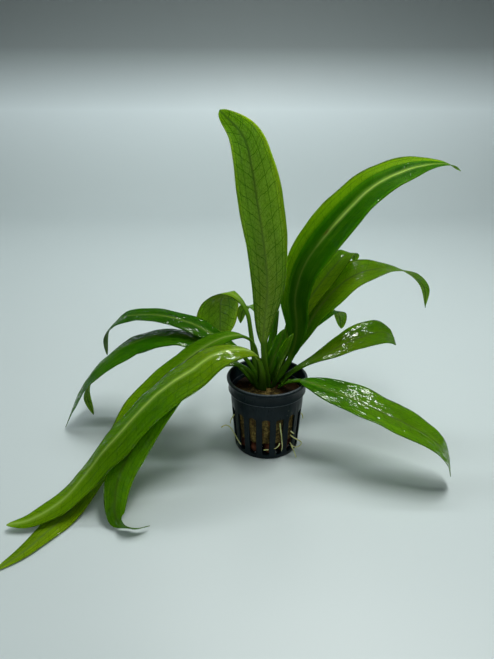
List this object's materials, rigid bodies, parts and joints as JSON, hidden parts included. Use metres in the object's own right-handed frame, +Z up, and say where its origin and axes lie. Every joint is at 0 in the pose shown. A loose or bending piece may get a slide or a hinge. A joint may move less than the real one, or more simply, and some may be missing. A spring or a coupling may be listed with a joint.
{
  "type": "potted amazon sword plant",
  "caption": "Young rosette plant with long arching sword-shaped leaves, growing from a crown in a small slotted net pot filled with growing medium and clay pellets, with thin roots outside.",
  "frame": {"origin": "centre of the pot's foot, on the surface the pot stands on", "axes": "+Z up; X along the longest spread of the leaves; -Y is the side where the two long drooping leaves come forward, the side seen in the picture"},
  "size_m": [0.2487, 0.1643, 0.1992],
  "materials": {
    "pot_plastic": "satin near-black plastic with a slight blue-green cast",
    "growing_medium": "damp matted mineral wool, tan-olive to dark brown",
    "clay_pellets": "matte damp baked clay",
    "crown": "firm green living tissue, satin",
    "roots": "pale yellow-green living roots, satin",
    "leaf": "wet satin green leaf with a paler underside"
  },
  "bodies": {
    "root": {"clay_pellet_01": "clay_pellets", "clay_pellet_02": "clay_pellets", "clay_pellet_03": "clay_pellets", "clay_pellet_04": "clay_pellets", "clay_pellet_05": "clay_pellets", "clay_pellet_06": "clay_pellets", "clay_pellet_07": "clay_pellets", "clay_pellet_08": "clay_pellets", "clay_pellet_09": "clay_pellets", "clay_pellet_10": "clay_pellets", "clay_pellet_11": "clay_pellets", "clay_pellet_12": "clay_pellets", "clay_pellet_13": "clay_pellets", "clay_pellet_14": "clay_pellets", "clay_pellet_15": "clay_pellets", "clay_pellet_16": "clay_pellets", "crown": "crown", "growing_medium": "growing_medium", "leaf_back_left": "leaf", "leaf_back_right": "leaf", "leaf_back_right_low": "leaf", "leaf_back_small": "leaf", "leaf_back_young": "leaf", "leaf_front_drooping": "leaf", "leaf_front_left": "leaf", "leaf_front_left_under": "leaf", "leaf_left_hidden": "leaf", "leaf_left_long": "leaf", "leaf_left_top": "leaf", "leaf_right_arch": "leaf", "leaf_right_front": "leaf", "leaf_right_high": "leaf", "leaf_right_rest": "leaf", "leaf_tall": "leaf", "leaf_young_left": "leaf", "leaf_young_right": "leaf", "pot": "pot_plastic", "root_foot": "roots", "root_front": "roots", "root_front_fork": "roots", "root_left": "roots", "root_left_long": "roots", "root_loop": "roots", "root_right": "roots", "root_stub": "roots", "root_tail": "roots"}
  },
  "joints": []
}
